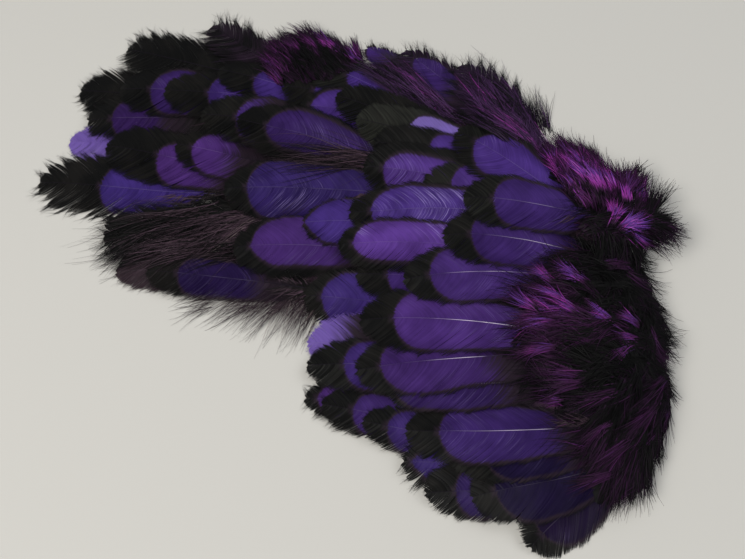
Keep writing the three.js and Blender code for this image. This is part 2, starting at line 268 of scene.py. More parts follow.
class Shape:
    """A feather's solid measured along its shaft: plan centre line, half widths and height of its top.

    Along is the distance from the quill's end, and aside is positive on the left of the way to the tip.
    """

    def __init__(self, node, cap=None):
        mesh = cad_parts[node].data
        mesh.calc_loop_triangles()
        points = np.array([v.co for v in mesh.vertices]) / MM
        triangles = np.array([t.vertices[:] for t in mesh.loop_triangles])
        self.corners = points[triangles]
        self.tree = BVHTree.FromPolygons(points.tolist(), triangles.tolist())
        self.cap = cap
        self.find_line(points[:, :2])
        self.find_sides()
        self.find_top()

    def cut(self, place, along):
        """Lowest and highest place across an upright cut through the solid, square to the direction."""
        across = np.array([-along[1], along[0]])
        ahead = (self.corners[..., :2] - place) @ along
        aside = (self.corners[..., :2] - place) @ across
        next_ahead = np.roll(ahead, -1, axis=1)
        next_aside = np.roll(aside, -1, axis=1)
        hit = ahead * next_ahead < 0
        share = ahead[hit] / (ahead[hit] - next_ahead[hit])
        met = aside[hit] + share * (next_aside[hit] - aside[hit])
        return (met.min(), met.max()) if len(met) else (0.0, 0.0)

    def find_line(self, plan):
        gaps = np.linalg.norm(plan[:, None] - plan[None], axis=2)
        a, b = np.unravel_index(gaps.argmax(), gaps.shape)
        root, tip = sorted((plan[a], plan[b]), key=lambda p: np.hypot(*(p - ROOTS_AT)))
        chord = tip - root
        reach = np.linalg.norm(chord)
        way = chord / reach
        across = np.array([-way[1], way[0]])
        shares = np.linspace(0, 1, SLICES)
        if self.cap:
            middles = np.zeros(SLICES)
        else:
            cuts = [self.cut(root + way * reach * s, way) for s in shares[1:-1]]
            inner = [(low + high) / 2 for low, high in cuts]
            middles = np.array([0.0, *inner, 0.0])
        bend = np.polyfit(shares, middles, LINE_DEGREE)
        fine = np.linspace(0, 1, STATIONS)
        off = np.polyval(bend, fine) - np.polyval(bend, 0) * (1 - fine) - np.polyval(bend, 1) * fine
        line = root + np.outer(fine * reach, way) + np.outer(off, across)
        steps = np.linalg.norm(np.diff(line, axis=0), axis=1)
        run = np.concatenate([[0], np.cumsum(steps)])
        self.length = run[-1]
        self.along = np.linspace(0, self.length, STATIONS)
        self.line = np.stack([np.interp(self.along, run, line[:, i]) for i in (0, 1)], axis=1)
        self.way = unit(np.gradient(self.line, axis=0))
        self.across = np.stack([-self.way[:, 1], self.way[:, 0]], axis=1)

    def find_sides(self):
        cuts = np.array([self.cut(p, w) for p, w in zip(self.line, self.way)])
        left = np.maximum(cuts[:, 1], 0.0)
        right = np.maximum(-cuts[:, 0], 0.0)
        if self.cap:
            left = np.minimum(left, self.cap)
            right = np.minimum(right, self.cap)
        left[-1] = right[-1] = 0
        self.left = smoothed(left)
        self.right = smoothed(right)

    def top_at(self, x, y):
        """Height of the solid's top there, or None beside it."""
        return self.tree.ray_cast(Vector((x, y, HIGH_ABOVE)), Vector((0, 0, -1)))[0]

    def find_top(self):
        heights = np.full((STATIONS, len(SHARES)), np.nan)
        for i in range(STATIONS):
            for j, share in enumerate(SHARES):
                wide = self.left[i] if share > 0 else self.right[i]
                x, y = self.line[i] + self.across[i] * share * wide
                met = self.top_at(x, y)
                if met is not None:
                    heights[i, j] = met.z
        for j in range(len(SHARES)):
            known = ~np.isnan(heights[:, j])
            heights[:, j] = np.interp(self.along, self.along[known], heights[known, j])
        self.top = smoothed(heights, 2 * SMOOTHINGS)

    def wide(self, along, side):
        return np.interp(along, self.along, self.left if side > 0 else self.right)

    def place(self, along, aside):
        """Row-frame points (x, y, z) on the solid's top, for arrays of places on the feather."""
        over = np.maximum(along - self.length, 0)
        xy = [np.interp(along, self.along, self.line[:, i]) for i in (0, 1)]
        way = [np.interp(along, self.along, self.way[:, i]) for i in (0, 1)]
        x = xy[0] - way[1] * aside + way[0] * over
        y = xy[1] + way[0] * aside + way[1] * over
        wide = np.where(aside > 0, self.wide(along, 1), self.wide(along, -1))
        share = np.clip(aside / np.maximum(wide, 0.3), SHARES[0], SHARES[-1])
        station = np.clip(along / self.length, 0, 1) * (STATIONS - 1)
        i = np.minimum(station.astype(int), STATIONS - 2)
        j = np.clip(np.searchsorted(SHARES, share) - 1, 0, len(SHARES) - 2)
        a = station - i
        b = (share - SHARES[j]) / (SHARES[j + 1] - SHARES[j])
        low = self.top[i, j] * (1 - b) + self.top[i, j + 1] * b
        high = self.top[i + 1, j] * (1 - b) + self.top[i + 1, j + 1] * b
        return np.stack([x, y, low * (1 - a) + high * a], axis=-1)


class Strips:
    """Thin strips of one piece, gathered into a mesh with its map and the looks of each point."""

    def __init__(self):
        self.points = []
        self.faces = []
        self.map = []
        self.barb_map = []
        self.looks = {"field": [], "streak": [], "kind": [], "glow": []}
        self.whole = {}
        self.count = 0

    def add(self, centres, sides, marks, barbs, **looks):
        """Strips given by their middles (strips, points, 3), half-width vectors of that shape, and for
        both of their edges the places on the map and along the barb (strips, points, 2, 2)."""
        strips, points = centres.shape[:2]
        both = np.stack([centres - sides, centres + sides], axis=2)
        self.points.append(both.reshape(-1, 3))
        self.map.append(marks.reshape(-1, 2))
        self.barb_map.append(barbs.reshape(-1, 2))
        for name, held in self.looks.items():
            value = np.broadcast_to(looks.get(name, 0.0), (strips, points, 2))
            held.append(value.reshape(-1))
        first = self.count + 2 * points * np.arange(strips)[:, None] + 2 * np.arange(points - 1)[None]
        first = first.reshape(-1)
        self.faces.append(np.stack([first, first + 1, first + 3, first + 2], axis=1))
        self.count += 2 * points * strips

    def build(self, name, material):
        points = np.concatenate(self.points) * MM
        faces = np.concatenate(self.faces)
        mesh = bpy.data.meshes.new(name)
        mesh.vertices.add(len(points))
        mesh.vertices.foreach_set("co", points.astype(np.float32).ravel())
        mesh.loops.add(faces.size)
        mesh.loops.foreach_set("vertex_index", faces.astype(np.int32).ravel())
        mesh.polygons.add(len(faces))
        mesh.polygons.foreach_set("loop_start", np.arange(0, faces.size, 4, dtype=np.int32))
        mesh.update(calc_edges=True)
        mesh.polygons.foreach_set("use_smooth", np.ones(len(faces), bool))
        for label, places in (("OFBake", self.map), ("barbs", self.barb_map)):
            spots = np.concatenate(places)[faces.ravel()]
            mesh.uv_layers.new(name=label).data.foreach_set("uv", spots.astype(np.float32).ravel())
        for label, held in self.looks.items():
            values = np.concatenate(held).astype(np.float32)
            mesh.attributes.new(label, "FLOAT", "POINT").data.foreach_set("value", values)
        for label, value in self.whole.items():
            values = np.full(len(points), value, np.float32)
            mesh.attributes.new(label, "FLOAT", "POINT").data.foreach_set("value", values)
        mesh.materials.append(material)
        piece = bpy.data.objects.new(name, mesh)
        bpy.context.scene.collection.objects.link(piece)
        return piece


def edge_pairs(middle, offset):
    """Values of both edges of the strips, from their middles and the difference to each edge."""
    return np.stack([middle - offset, middle + offset], axis=2)


VANE, SHAFT, STRAND = 0.0, 1.0, 2.0


def vane_map(shape, along, aside):
    """Place of a point of the vane on the baked map."""
    widest = max(shape.left.max(), shape.right.max()) * MAP_WIDER
    u = np.clip(along / (shape.length * MAP_LONGER), 0, 1)
    v = np.clip(0.5 + 0.5 * aside / widest, 0, 1)
    return np.stack([u, np.interp(v, (0, 1), VANE_BAND)], axis=-1)


def field_depth(shape, looks, along, aside):
    """Millimetres from a place on the vane to the edge of its dyed field, negative in the black lace.

    The field's end is half an ellipse, so it is blunt like the feather's own tip.
    """
    fade = REACH_FADE * (along - (shape.length - looks["reach"]))
    if looks["lace"] == 0:
        return np.minimum(UNLACED_DEPTH + 0 * along, fade)
    end = shape.length - looks["lace"]
    half = np.where(aside > 0, shape.wide(along, 1), shape.wide(along, -1))
    half = half - np.where(aside > 0, looks["low"], looks["side"])
    bow = FIELD_BOW * max(shape.left.max(), shape.right.max())
    into = np.clip((along - end + bow) / bow, 0, 1)
    half = half * np.sqrt(1 - into**2)
    depth = np.minimum(half - np.abs(aside), end - along)
    return np.minimum(depth, fade)


def barb_rows(rng, shape, looks, side):
    """Along and aside of every barb's points on one side of the shaft: two arrays (barbs, points).

    The barbs are set more closely where their ends would fan out, as they do round the tip.
    """
    fine = np.linspace(0, shape.length, 4 * STATIONS)
    rooted = np.maximum.accumulate(fine - BARB_LEAN * shape.wide(fine, side)) + 1e-6 * np.arange(len(fine))
    places = np.arange(VANE_START * shape.length, looks["stop"] * shape.length, BARB_PITCH / PLACES_PER_BARB)
    ends = np.interp(places, rooted, fine)
    apart = np.hypot(np.diff(ends), np.diff(shape.wide(ends, side)))
    run = np.cumsum(np.maximum(np.diff(places), apart / ENDS_APART))
    roots = np.interp(np.arange(0, run[-1], BARB_PITCH), run, places[1:])
    roots = roots + rng.uniform(-ROOT_JITTER, ROOT_JITTER, len(roots)) * np.gradient(roots)
    ends = np.interp(roots, rooted, fine)
    far = shape.wide(ends, side)
    stretch = 1 + rng.normal(0, LENGTH_SPREAD, len(roots))
    stretch = stretch + EDGE_WAVE * np.sin(roots * EDGE_WAVES + rng.uniform(0, 6))
    q = np.linspace(0, 1, BARB_POINTS)[None]
    run = (ends - roots)[:, None]
    shift = rng.normal(0, SHIFT_SPREAD, len(roots))[:, None] * q**2
    for _ in range(looks["splits"]):
        at = rng.uniform(*SPLIT_SHARES) * shape.length
        gap = rng.uniform(*SPLIT_GAPS)
        beyond = roots - at
        push = np.where(beyond > 0, gap, -gap) * np.exp(-np.abs(beyond) / SPLIT_REACH)
        shift = shift + push[:, None] * q**SPLIT_POWER
    wander = rng.normal(0, WANDER_SPREAD, len(roots))[:, None] * np.sin(math.pi * q)
    if looks["clump"]:
        group = np.searchsorted(np.cumsum(rng.uniform(*CLUMP_WIDTHS, MOST_CLUMPS)), roots - roots[0])
        stretch = stretch + looks["clump"] * rng.normal(0, CLUMP_UNEVEN, MOST_CLUMPS + 1)[group]
    along = roots[:, None] + run * stretch[:, None] * q**ALONG_POWER + shift
    aside = (far * stretch)[:, None] * q**ASIDE_POWER + wander
    if looks["clump"]:
        along = along + drawn_together(group, along[:, -1], looks["clump"]) * q**CLUMP_POWER
        aside = aside + drawn_together(group, aside[:, -1], looks["clump"]) * q**CLUMP_POWER
    return along, side * aside


def drawn_together(group, ends, share):
    """How far each barb's end moves towards the middle of the ends of its own clump."""
    middle = np.bincount(group, ends) / np.maximum(np.bincount(group), 1)
    return (share * (middle[group] - ends))[:, None]


def strip_sides(centres, cover, tilt, taper, clip):
    """Half-width vectors that make neighbouring strips overlap, tilted about their own run."""
    run = unit(np.gradient(centres, axis=1))
    flat = unit(np.stack([-run[..., 1], run[..., 0], np.zeros(run.shape[:2])], axis=-1))
    step = np.abs(np.sum(np.gradient(centres, axis=0) * flat, axis=-1))
    usual = np.median(step)
    half = np.clip(step, clip[0] * usual, clip[1] * usual) * cover * taper
    sides = flat * half[..., None]
    sides[..., 2] += tilt * half
    return sides


def add_vane(strips, rng, shape, looks, sink=VANE_SINK):
    """Both rows of barbs, and hairs that run on from some of them past the vane's edge."""
    for side in (-1, 1):
        along, aside = barb_rows(rng, shape, looks, side)
        centres = shape.place(along, aside)
        centres[..., 2] = np.maximum(centres[..., 2] - sink, LOWEST)
        barbs = len(centres)
        q = np.linspace(0, 1, BARB_POINTS)[None]
        taper = np.interp(q, (TAPER_AT, 1), (1, TAPER_TO))
        tilt = side * (BARB_TILT + rng.normal(0, TILT_SPREAD, (barbs, 1)))
        clip = CLUMP_CLIP if looks["clump"] else STRIP_CLIP
        sides = strip_sides(centres, BARB_COVER, tilt, taper, clip)
        half = np.linalg.norm(sides[..., :2], axis=-1)
        along_pair = edge_pairs(along, 0.7 * half)
        aside_pair = edge_pairs(aside, 0 * half)
        number = rng.uniform(0, 1000) + np.arange(barbs)[:, None] + np.zeros_like(q)
        reach = q * np.linalg.norm(centres[:, -1] - centres[:, 0], axis=-1)[:, None]
        run = np.stack([edge_pairs(number, 0.5 + 0 * q), edge_pairs(reach, 0 * reach)], axis=-1)
        strips.add(
            centres,
            sides,
            vane_map(shape, along_pair, aside_pair),
            run * BARB_PITCH,
            field=field_depth(shape, looks, along_pair, aside_pair),
            streak=rng.uniform(-1, 1, (barbs, 1, 1)),
            kind=VANE,
        )
        add_fringe(strips, rng, looks, centres)


def add_fringe(strips, rng, looks, centres):
    """Hairs that run on from the ends of some of a vane's barbs."""
    picked = rng.random(len(centres)) < looks["hairs"]
    ends = np.repeat(centres[picked, -1], 2, axis=0)
    if not len(ends):
        return
    before = np.repeat(centres[picked, -3], 2, axis=0)
    way = unit(ends - before)
    turn = rng.normal(0, FRINGE_TURN, len(ends))
    ways = turned(way, turn)
    length = looks["fringe"] * rng.uniform(*FRINGE_LENGTHS, len(ends)) + FRINGE_OVERLAP
    starts = ends - FRINGE_OVERLAP * ways
    add_strands(strips, rng, starts, ways, length, FRINGE_WIDTH, sag=FRINGE_SAG, glow=-1.0)


def add_strands(strips, rng, starts, ways, lengths, width, sag=0.0, curl=0.0, glow=0.0, points=5):
    """Loose strands from their starts along their ways, thinning to a point."""
    count = len(starts)
    q = np.linspace(0, 1, points)[None]
    turn = rng.normal(0, STRAND_TURN, (count, 1)) * q + np.reshape(curl, (-1, 1)) * q
    steps = turned(ways[:, None], turn) * np.reshape(lengths, (-1, 1, 1)) / (points - 1)
    steps[:, 0] = 0
    centres = starts[:, None] + np.cumsum(steps, axis=1)
    centres[..., 2] -= sag * np.reshape(lengths, (-1, 1)) * q**2
    centres[..., 2] = np.maximum(centres[..., 2], LOWEST)
    lay_strands(strips, rng, centres, width, np.reshape(glow, (-1, 1, 1)))


def lay_strands(strips, rng, centres, width, glow):
    """Strips along given middles, thinning to a point, each in its own column of the map."""
    count, points = centres.shape[:2]
    q = np.linspace(0, 1, points)[None]
    run = unit(np.gradient(centres, axis=1))
    flat = unit(np.stack([-run[..., 1], run[..., 0], np.zeros(run.shape[:2])], axis=-1))
    half = 0.5 * width * (1 - STRAND_THINNING * q)
    sides = flat * half[..., None]
    sides[..., 2] += rng.normal(0, STRAND_TILT, (count, 1)) * half
    column = rng.random((count, 1)) + 0 * q
    u = edge_pairs(column, 0.0015 + 0 * q)
    v = np.interp(edge_pairs(q + 0 * column, 0 * column), (0, 1), STRAND_BAND)
    reach = edge_pairs(q * np.linalg.norm(centres[:, -1] - centres[:, 0], axis=-1)[:, None], 0 * column)
    strips.add(
        centres,
        sides,
        np.stack([np.clip(u, 0, 1), v], axis=-1),
        np.stack([u * 40, reach * BARB_PITCH], axis=-1),
        field=0.0,
        streak=rng.uniform(-1, 1, (count, 1, 1)),
        kind=STRAND,
        glow=glow,
    )


def shaft_glint(looks, share):
    """Extra paleness where the light glances off the shaft."""
    if looks["glint"] is None:
        return 0 * share
    return looks["shine"] * np.exp(-(((share - looks["glint"]) / GLINT_SPREAD) ** 2))


def add_shaft(strips, shape, looks):
    """A tapered tube along the centre line, made of one strip for each of its sides."""
    along = np.linspace(0.01, 0.97, SHAFT_STEPS) * shape.length
    line = shape.place(along, 0 * along)
    share = along / shape.length
    radius = SHAFT_BASE + (SHAFT_TIP - SHAFT_BASE) * share**0.7
    line[:, 2] = np.maximum(line[:, 2] - radius * 0.4, radius + 0.02)
    way = unit(np.gradient(line, axis=0))
    flat = unit(np.stack([-way[:, 1], way[:, 0], 0 * way[:, 0]], axis=-1))
    up = np.cross(way, flat)
    up = up * np.sign(up[:, 2:])
    for k in range(SHAFT_SIDES):
        turns = [2 * math.pi * (k + n) / SHAFT_SIDES for n in (0, 1)]
        edges = [line + radius[:, None] * (math.cos(t) * flat + math.sin(t) * up) for t in turns]
        middle = (edges[0] + edges[1])[None] / 2
        half = (edges[1] - edges[0])[None] / 2
        run = edge_pairs(along[None], 0 * along[None])
        u = run / (shape.length * MAP_LONGER)
        marks = np.stack([u, SHAFT_BAND + 0.01 * edge_pairs(0 * along[None], 1 + 0 * along[None])], axis=-1)
        strips.add(
            middle,
            half,
            marks,
            np.stack([run, 0 * run], axis=-1) * BARB_PITCH,
            field=field_depth(shape, looks, run, 0 * run),
            kind=SHAFT,
            glow=looks["pale"] + shaft_glint(looks, run / shape.length),
        )


def add_base_down(strips, rng, shape):
    """Downy barbs beside the lower part of the shaft."""
    count = BASE_STRANDS
    along = rng.uniform(*BASE_SHARES, count) * shape.length
    side = np.where(rng.random(count) < 0.5, -1.0, 1.0)
    starts = shape.place(along, 0.2 * side)
    starts[:, 2] -= BASE_SINK
    i = np.clip((along / shape.length * (STATIONS - 1)).astype(int), 0, STATIONS - 1)
    ways = turned(shape.way[i], side * rng.uniform(*BASE_LEANS, count))
    lengths = rng.uniform(*BASE_LENGTHS, count)
    curl = -BASE_CURL * side
    add_strands(strips, rng, starts, ways, lengths, BASE_WIDTH, curl=curl, glow=-0.3, points=6)


def turned(ways, angle):
    """Plan directions turned by an angle each, counted to the left."""
    x = ways[..., 0] * np.cos(angle) - ways[..., 1] * np.sin(angle)
    y = ways[..., 0] * np.sin(angle) + ways[..., 1] * np.cos(angle)
    return np.stack([x, y, np.zeros_like(x)], axis=-1)


def headings(degrees):
    angle = np.radians(degrees)
    return np.stack([np.cos(angle), np.sin(angle), 0 * angle], axis=-1)


class Pile:
    """Heights of the whole patch's top, and of its feathers alone, on a plan grid."""

    def __init__(self):
        self.nodes = {}
        for name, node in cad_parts.items():
            mesh = node.data
            mesh.calc_loop_triangles()
            points = [v.co / MM for v in mesh.vertices]
            faces = [t.vertices[:] for t in mesh.loop_triangles]
            self.nodes[name] = BVHTree.FromPolygons(points, faces)
        box = cad_box
        self.low = np.array(box[0][:2]) / MM - GRID_STEP
        self.size = np.ceil((np.array(box[1][:2]) / MM + GRID_STEP - self.low) / GRID_STEP).astype(int) + 1
        self.feathers = self.heights([t for name, t in self.nodes.items() if "tuft" not in name])
        self.tufts = self.heights(self.nodes.values())

    def heights(self, trees):
        down = Vector((0, 0, -1))
        grid = np.zeros(self.size)
        for i in range(self.size[0]):
            for j in range(self.size[1]):
                x, y = self.low + GRID_STEP * np.array([i, j])
                for tree in trees:
                    met = tree.ray_cast(Vector((x, y, HIGH_ABOVE)), down)[0]
                    if met is not None:
                        grid[i, j] = max(grid[i, j], met.z)
        return grid

    def at(self, grid, x, y):
        spot = (np.stack([x, y], axis=-1) - self.low) / GRID_STEP
        spot = np.clip(spot, 0, self.size - 1.001)
        i, j = np.moveaxis(spot.astype(int), -1, 0)
        a, b = np.moveaxis(spot - spot.astype(int), -1, 0)
        near = grid[i, j] * (1 - b) + grid[i, j + 1] * b
        far = grid[i + 1, j] * (1 - b) + grid[i + 1, j + 1] * b
        return near * (1 - a) + far * a


def held_up(centres):
    """Lifts the strands where they would droop more steeply than their stiffness lets them."""
    for i in range(1, centres.shape[1]):
        step = np.linalg.norm(centres[:, i, :2] - centres[:, i - 1, :2], axis=-1)
        centres[:, i, 2] = np.maximum(centres[:, i, 2], centres[:, i - 1, 2] - DROOP * step)


def lock_roots(rng, shape, row):
    """Roots, headings in degrees and lengths of locks that stay, but for their tips, on a tuft's solid."""
    low = shape.corners[..., :2].min(axis=(0, 1))
    high = shape.corners[..., :2].max(axis=(0, 1))
    kept = []
    while len(kept) < row["count"]:
        x, y = rng.uniform(low, high)
        turn = row["heading"] + rng.normal(0, row["wander"])
        reach = row["length"] * rng.uniform(0.7, 1.25)
        way = math.radians(turn)
        ahead = row["inside"] * reach
        inside = shape.top_at(x + ahead * math.cos(way), y + ahead * math.sin(way))
        if shape.top_at(x, y) is not None and inside is not None:
            kept.append((x, y, turn, reach))
    return np.array(kept)


def add_locks(strips, rng, roots, glow, level, row, strands=26, width=0.26, points=7):
    """Locks of fine strands: each a brush that widens from its root, curls a little and ends in points.
    Glow is each lock's colour, from -1 for black over 0 for plum to 1 for bright magenta or lilac, and
    painted shade darkens each strand towards its root and its tip."""
    count = len(roots) * strands
    x, y, turn, reach = np.repeat(roots, strands, axis=0).T
    curl = np.repeat(rng.normal(0, row["curl"], len(roots)), strands)
    arch = np.repeat(rng.uniform(*LOCK_ARCHES, len(roots)), strands)
    lift = np.repeat(np.broadcast_to(level, len(roots)), strands)
    shine = np.repeat(np.broadcast_to(glow, len(roots)), strands)
    q = np.linspace(0, 1, points)[None]
    fan = rng.normal(0, LOCK_FAN * row["loose"], count)
    ways = headings(turn)
    start = np.stack([x, y, 0 * x], axis=-1) + rng.normal(0, LOCK_ROOT_SPREAD, (count, 3)) * (1, 1, 0)
    stray = rng.normal(0, LOCK_STRAY * row["loose"], (count, 1))
    angle = fan[:, None] * (0.6 + q) + curl[:, None] * q + stray * q**2
    step = (reach * rng.uniform(*STRAND_REACHES, count) / (points - 1))[:, None, None]
    moves = turned(ways[:, None] + 0 * q[..., None], angle) * step
    moves[:, 0] = 0
    centres = start[:, None] + np.cumsum(moves, axis=1)
    bed = pile.at(pile.feathers, centres[..., 0], centres[..., 1]) + 0.15
    top = pile.at(pile.tufts, centres[..., 0], centres[..., 1])
    raised = top + lift[:, None] + arch[:, None] * np.sin(math.pi * q)
    centres[..., 2] = np.maximum(bed, raised + rng.normal(0, LEVEL_SPREAD, (count, 1)))
    held_up(centres)
    # Painted shade: each strand is darkened towards its root and its tip and shows its full glow a little
    # below its middle.
    lit = np.sin(math.pi * q**0.8)
    shade = shine[:, None] * lit + (lit - 1) * SHADE_DEPTH + rng.normal(0, SHADE_SPREAD, (count, 1))
    lay_strands(strips, rng, centres, width, shade[..., None])


# Locks of the down tufts: heading of the tuft's own locks, how far they wander and curl, how loosely
# their strands lie, their length, number and glow, the share of a lock that stays on the solid, the
# share of the tuft that a dark hairy bed under the locks covers, and the warmth from -1 for violet to 1
# for magenta.
TUFT_LOCKS = {
    "down_tuft_01": {"heading": 122, "wander": 7, "curl": 0.06, "loose": 0.5, "length": 12, "count": 120,
                     "glow": -0.1, "inside": 0.5, "bed": 0.8, "warm": 0.3},
    "down_tuft_02": {"heading": 285, "wander": 35, "curl": 0.4, "loose": 1.0, "length": 10, "count": 150,
                     "glow": -1.3, "inside": 0.85, "bed": VANE_STOP, "warm": -0.5},
    "down_tuft_03": {"heading": 240, "wander": 15, "curl": 0.2, "loose": 0.55, "length": 14, "count": 130,
                     "glow": -1.1, "inside": 0.75, "bed": VANE_STOP, "warm": -1.0},
    "down_tuft_04": {"heading": 165, "wander": 22, "curl": 0.25, "loose": 0.8, "length": 12, "count": 260,
                     "glow": -0.9, "inside": 0.8, "bed": VANE_STOP, "warm": -0.7},
    "down_tuft_05": {"heading": 112, "wander": 9, "curl": 0.06, "loose": 0.6, "length": 12, "count": 130,
                     "glow": 0.2, "inside": 0.6, "bed": 0.85, "warm": 0.4},
    "down_tuft_06": {"heading": 68, "wander": 18, "curl": 0.08, "loose": 0.7, "length": 9, "count": 26,
                     "glow": -0.7, "inside": 0.6, "bed": 0.4, "warm": -0.4},
    "down_tuft_07": {"heading": 350, "wander": 25, "curl": 0.3, "loose": 1.0, "length": 9, "count": 70,
                     "glow": -0.9, "inside": 0.65, "bed": 0.6, "warm": 0.4},
}

# Places where the down is brighter in its own colour than the rest of its tuft, or darker with painted
# shade: x, y, radius and change.
TINTS_AND_SHADE = {
    "down_tuft_01": (
        (-36, 64, 9, -0.9), (-27, 62, 8, -0.9),
    ),
    "down_tuft_04": (
        (25, -4, 7, 0.6), (34, -14, 8, 0.9), (28, -24, 7, 0.5), (50, -21, 4, 0.6), (34, -36, 5, 0.3),
        (45, -6, 6, -0.9), (46, -33, 12, -1.1), (53, -10, 6, -0.7),
    ),
    "down_tuft_05": (
        (46, 18, 5, -0.8),
    ),
}

# Single locks that stand out: x, y of the root, heading, length and glow.
BRIGHT_LOCKS = {
    "down_tuft_01": (
        (-24, 69, 138, 14, 1.2), (-23, 70, 136, 14, 1.1), (-26, 71, 133, 13, 1.1), (-21, 71, 130, 11, 0.8),
        (-29, 73, 126, 11, 0.3), (-35, 73, 130, 11, 0.1), (-40, 72, 132, 10, 0.0), (-22, 75, 105, 9, 0.1),
    ),
    "down_tuft_05": (
        (45, 21, 116, 13, 1.0), (42, 24, 120, 12, 1.0), (47, 21, 106, 12, 1.0), (49, 21, 97, 11, 1.0),
        (44, 28, 116, 11, 1.0), (39, 29, 122, 9, 0.8), (47, 27, 104, 10, 1.0), (42, 31, 118, 9, 0.8),
        (46, 24, 112, 13, 1.1),
    ),
    "down_tuft_06": (
        (52, 19, 56, 12, 0.1), (52, 20, 68, 12, 0.0), (51, 20, 80, 11, 0.0), (52, 17, 88, 7, 0.9),
        (56, 17, 80, 14, 0.3), (57, 17, 76, 13, 0.4), (58, 14, 64, 15, -0.9), (59, 14, 56, 14, -0.9),
    ),
    "down_tuft_07": (
        (48, 12, 100, 7, 0.8), (47, 9, 60, 8, 0.8), (49, 8, 18, 9, 1.0), (50, 8, -4, 9, 1.0),
        (51, 7, -25, 9, 0.8), (57, 9, -5, 11, -1.2), (58, 11, 12, 9, -1.2), (56, 7, -22, 10, -1.1),
    ),
    "down_tuft_04": (
        (39, -7, 135, 10, 0.65), (37, -5, 140, 9, 0.55), (30.5, -6, 140, 9, 0.5), (25.5, -14, 150, 10, 0.5),
        (36, -16, 148, 11, 0.6), (33, -12, 152, 11, 0.5), (44, -19, 135, 9, 0.6), (29, -25, 180, 11, 0.05),
        (51.5, -20, 155, 7, 0.3), (51, -23.5, 180, 8, 0.3), (49, -26, 205, 7, 0.1),
        (36, -33, 168, 12, -0.25), (36, -35, 186, 12, -0.35), (30, -39.3, 172, 5, 0.1),
        (44, -38, 195, 12, -0.5), (42, -46, 200, 12, -0.5),
    ),
    "down_tuft_03": (
        (60, -30, 240, 13, -0.5), (54, -41, 228, 14, -0.5), (46, -51, 215, 13, -0.45),
        (41, -58, 205, 12, -0.45),
    ),
    "down_tuft_02": (
        (56, -20, 275, 9, -0.1),
    ),
}

# The left side's loose strands lie on these.
LEFT_EDGE = ("dark_tipped_feather_04", "dark_tipped_feather_05", "dark_tipped_feather_06",
             "mauve_tipped_feather_01")
UPPER_EDGE = ("fluffy_edge_feather_02", "fluffy_edge_feather_03", "laced_feather_02")

# Streams of long loose strands, by the piece that holds them: the pieces that they lie on (own for that
# piece itself, or none for all of the feathers), x and y of the stream's root, its heading, length, the
# width that the roots spread over, the number of strands, and their glow from -1 for black to 1 for pale.
OWN = ("own",)
WISPS = {
    "mauve_tipped_feather_01": (
        (OWN, -35, -5, 238, 15, 9, 190, 0.2),
        (OWN, -44, -5, 222, 15, 10, 150, 0.2),
        (OWN, -54, -6, 208, 12, 10, 80, 0.0),
        (OWN, -64, -6, 200, 9, 10, 50, -0.3),
    ),
    "dark_tipped_feather_05": (
        (LEFT_EDGE, -54, 25.5, 188, 15, 5, 150, -0.8),
        (LEFT_EDGE, -52, 8, 190, 18, 5, 150, -0.8),
        (LEFT_EDGE, -46, 18, 208, 24, 8, 140, 0.15),
        (LEFT_EDGE, -56, 15, 206, 24, 9, 130, -0.1),
        (LEFT_EDGE, -68, 18, 195, 28, 8, 150, -0.5),
        (LEFT_EDGE, -66, 9, 192, 24, 6, 100, -0.2),
        (LEFT_EDGE, -84, 15, 192, 12, 1.2, 60, -1.2),
        (LEFT_EDGE, -84, 11, 203, 13, 1.2, 60, -1.2),
        (LEFT_EDGE, -86, 7, 206, 10, 1.2, 50, -1.0),
    ),
    "laced_feather_04": (
        (("laced_feather_04", "laced_feather_05"), -20, 34, 180, 24, 5, 170, -0.35),
    ),
    "fluffy_edge_feather_02": (
        (UPPER_EDGE, 4.6, 50, 140, 28, 6, 160, -0.1),
        (UPPER_EDGE, 0, 57, 138, 16, 4, 50, 0.6),
        ((), -8, 58, 140, 17, 6, 220, -0.2),
    ),
    "fluffy_edge_feather_04": (
        ((), 20, 41.5, 140, 16, 6, 200, -0.6),
        ((), 28, 40, 141, 18, 3, 80, 0.5),
        (OWN, 17, 53, 118, 12, 8, 120, 0.3),
        (OWN, 32, 38, 132, 24, 12, 200, 0.2),
        (OWN, 24, 52, 128, 20, 12, 200, -0.2),
        (OWN, 28, 48, 100, 13, 16, 240, -0.5),
    ),
    "down_tuft_06": (
        ((), 52, 18, 150, 12, 12, 160, -0.9),
    ),
    "down_tuft_07": (
        ((), 46, 14, 190, 10, 12, 160, -1.0),
    ),
    "down_tuft_04": (
        ((), 28, -8, 172, 14, 8, 80, -0.7),
        ((), 27, -22, 180, 12, 10, 80, -0.7),
        ((), 30, -33, 185, 12, 9, 80, -0.8),
    ),
    "down_tuft_03": (
        ((), 38, -48, 190, 12, 10, 80, -0.8),
    ),
}


